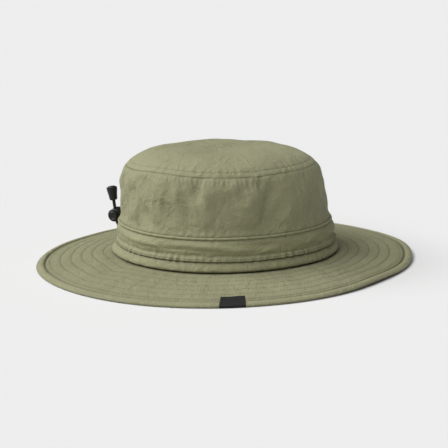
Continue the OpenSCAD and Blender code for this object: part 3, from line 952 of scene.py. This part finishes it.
# blank woven label folded over the brim's edge
labelShape = {
    "angle": 288.9, "width": 22.6, "depth": 17.0, "thickness": 0.4,
    "over": 0.36, "out": 0.22, "under": 0.05,  # how far the folded label stands off the brim
}
labelHalf = labelShape["width"] / 2 / 190.2  # half its angle, by the rim's distance from its arc's centre
labelPhi = np.linspace(-labelHalf, labelHalf, 48)[:, None] + math.radians(labelShape["angle"])
labelRadii = np.linspace(brimShape["outer"] - labelShape["depth"], 180.6, 30)[None, :] * mm
labelOver = brimTop(labelPhi, labelRadii, labelShape["over"] * mm)
labelFold = edgeRoll(labelPhi, 0.15, math.pi - 0.15, 12, labelShape["out"] * mm)
labelBackRadii = np.linspace(180, 174.5, 12)[None, :] * mm
labelHeight = brimHeight(labelPhi, rimRadius + 0 * labelBackRadii)
labelHeight = labelHeight - (brimShape["thickness"] + labelShape["under"]) * mm
labelUnder = brimRing(labelPhi, labelBackRadii, labelHeight)
labelPiece = gridMesh("brimEdgeLabel", np.concatenate([labelOver, labelFold, labelUnder], 1), flip=True)
thicken(labelPiece, labelShape["thickness"] * mm)
finishPiece(labelPiece, "woven_label", "wovenLabel", "brim_label")

# drawcord inside the channel
ringPhi = np.radians(np.linspace(186.5, 533.5, 420))
ringPath = ovalRing(ringPhi, channelShape["cordRadius"], channelShape["cordHeight"])
ringPiece = tubeAlong("drawcordRing", ringPath, cordShape["diameter"] / 2, 12, 0.03)
finishPiece(ringPiece, "cord", "braidedCord", "drawcord")


# stitches
def stitchesAlong(surface, phi, pitch, length):
    # evenly spaced stitches on a closed line of a surface, each as five points
    line = surface(phi)
    walked = walkAlong(line)
    count = int(walked[-1] / pitch)
    starts = np.arange(count) * walked[-1] / count
    offsets = np.array([0.0, 0.16, 0.5, 0.84, 1.0]) * length
    places = (starts[:, None] + offsets[None, :]).ravel()
    return np.stack([np.interp(places, walked, line[:, k]) for k in range(3)], -1).reshape(count, 5, 3)


def stitchMesh(name, spines, outward, radius):
    # five rings of six points along each stitch: thin, full, full, full, thin
    along = np.gradient(spines, axis=1)
    along /= np.linalg.norm(along, axis=2)[..., None]
    across = np.cross(along, outward)
    across /= np.linalg.norm(across, axis=2)[..., None]
    upward = np.cross(across, along)
    upward = upward * np.sign((upward * outward).sum(-1))[..., None]
    size = np.array([0.15, 0.85, 1.0, 0.85, 0.15]) * radius
    lift = np.array([-0.7, 0.1, 0.35, 0.1, -0.7]) * radius
    a = np.arange(6) * tau / 6
    spines = spines + upward * lift[None, :, None]
    rings = (spines[:, :, None] + size[None, :, None, None]
             * (across[:, :, None] * np.cos(a)[None, None, :, None]
                + upward[:, :, None] * np.sin(a)[None, None, :, None]))
    count = len(spines)
    base = np.arange(count)[:, None, None] * 30
    ring, k = base + np.arange(4)[None, :, None] * 6, np.arange(6)[None, None, :]
    n = (k + 1) % 6
    quads = np.stack([ring + k, ring + n, ring + 6 + n, ring + 6 + k], -1).reshape(-1, 4)
    firstCap = (base[:, 0] + np.arange(6)[None, ::-1]).reshape(-1, 6)
    lastCap = (base[:, 0] + 24 + np.arange(6)[None, :]).reshape(-1, 6)
    loops = np.concatenate([quads.ravel(), firstCap.ravel(), lastCap.ravel()])
    totals = np.concatenate([np.full(len(quads), 4), np.full(2 * count, 6)])
    starts = np.concatenate([[0], np.cumsum(totals)[:-1]])
    piece = meshFrom(name, rings.reshape(-1, 3), loops, starts, totals)
    finishPiece(piece, "seam_tape", "sewingThread")


def outwardAt(spines, tilt):
    # away from the hat's middle, tipped up by the tilt (0 is level, 1 is straight up)
    level = spines * np.array([1.0, 1.0, 0.0])
    level /= np.linalg.norm(level, axis=2)[..., None]
    mixed = level * (1 - tilt) + np.array([0.0, 0.0, 1.0]) * tilt
    return mixed / np.linalg.norm(mixed, axis=2)[..., None]


# distance from one stitch to the next, and length of a stitch
coarse, fine = (3.2 * mm, 2.3 * mm), (2.8 * mm, 2.0 * mm)
threadRadius = 0.2 * mm
finePhi = np.linspace(0, tau, 2400)


def sewLines(name, lines, pitch, tilt, radius=threadRadius):
    # every line is a function of the angle
    spines = np.concatenate([stitchesAlong(line, finePhi, *pitch) for line in lines])
    stitchMesh(name, spines, outwardAt(spines, tilt), radius)


sewLines("brimStitches", [lambda phi, row=row: brimTop(phi, (brimShape["outer"] - row) * mm + 0 * phi)
                          for row in brimShape["rows"] + (12.0,)], coarse, 0.9, 0.22 * mm)
topRing = 1 - crownShape["stitchGap"] / crownShape["tipHalfLength"]
sewLines("topStitches", [lambda phi: crownTop(phi, topRing + 0 * phi)], fine, 0.7)
# the points of the channel's profile that are nearest to its two rows of stitches
upperRow = np.argmin(np.abs(channelCurve[:, 1] - 39.4) + 10 * (channelCurve[:, 0] < 103))
lowerRow = np.argmin(np.abs(channelCurve[:, 1] - 22.6) + 10 * (channelCurve[:, 0] < 106))
sewLines("channelStitches", [lambda phi, k=k: channelRing(phi, k + 0 * phi)
                             for k in (float(upperRow), float(lowerRow))], fine, 0.1)
print("stitches made")

# toggle: the hard parts keep their shape and take their finish
hardParts = {
    "eyeletPaint": ["eyelet_left", "eyelet_right"], "buttonPlastic": ["lock_plunger"],
    "togglePlastic": ["cord_end_shell", "cord_end_cap", "lock_barrel"],
    "springSteel": ["lock_spring"], "braidedCord": ["cord_knot"],
}
for look, nodes in hardParts.items():
    for place in [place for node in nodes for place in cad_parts[node].material_slots]:
        place.material = looks[look]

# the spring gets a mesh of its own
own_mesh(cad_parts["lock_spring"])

# floor and light
studio = {
    "floor": 0.8, "background": 0.855, "fill": 0.6,
    "keySun": 2.05, "keySize": 44.0, "keyTurn": (-44, -84),
    "frontSun": 1.14, "frontSize": 50.0, "frontTurn": (-36, -30),
}


def makeStudio(values):
    # pale floor, sky that lights as its height squared, and two soft suns
    points = np.array([[[-15, -15, 0], [-15, 15, 0]], [[15, -15, 0], [15, 15, 0]]], float)
    floor = gridMesh("studioFloor", points)
    material, tree, shader = newMaterial("paperFloor")
    coords = addNode(tree, "TexCoord")
    grain = addNode(tree, "TexNoise", {0: coords.outputs["Object"], 2: 900.0})
    relief = addNode(tree, "Bump", {"Height": grain.outputs[0], "Strength": 0.02,
                                              "Distance": 0.1 * mm})
    tree.links.new(relief.outputs[0], shader.inputs["Normal"])
    shader.inputs["Base Color"].default_value = (values["floor"],) * 3 + (1,)
    shader.inputs["Roughness"].default_value = 1.0
    shader.inputs["Specular IOR Level"].default_value = 0.0
    floor.data.materials.append(material)
    world = bpy.data.worlds.new("studio")
    scene.world = world
    world.use_nodes = True
    tree = world.node_tree
    tree.nodes.clear()
    seen = addNode(tree, "Background", {0: (values["background"],) * 3 + (1,), 1: 1.0})
    coords = addNode(tree, "TexCoord")
    split = addNode(tree, "SeparateXYZ", {0: coords.outputs["Generated"]})
    overhead = mathNode(tree, "POWER", mathNode(tree, "MAXIMUM", split.outputs[2], 0.0), 2.0)
    light = addNode(tree, "Background",
                    {0: (1.0, 1.0, 1.0, 1), 1: mathNode(tree, "MULTIPLY", overhead, values["fill"])})
    path = addNode(tree, "LightPath")
    mixed = addNode(tree, "MixShader")
    tree.links.new(path.outputs["Is Camera Ray"], mixed.inputs[0])
    tree.links.new(light.outputs[0], mixed.inputs[1])
    tree.links.new(seen.outputs[0], mixed.inputs[2])
    out = addNode(tree, "OutputWorld")
    tree.links.new(mixed.outputs[0], out.inputs[0])
    for name in ("key", "front"):
        energy, size, turn = (values[name + part] for part in ("Sun", "Size", "Turn"))
        data = bpy.data.lights.new(name + "Light", "SUN")
        data.energy = energy
        data.angle = math.radians(size)
        lamp = bpy.data.objects.new(name + "Light", data)
        pitch, heading = (math.radians(a) for a in turn)
        lamp.matrix_world = (Matrix.Rotation(heading, 4, "Z") @ Matrix.Rotation(-pitch, 4, "X"))
        scene.collection.objects.link(lamp)


makeStudio(studio)
print("studio made")
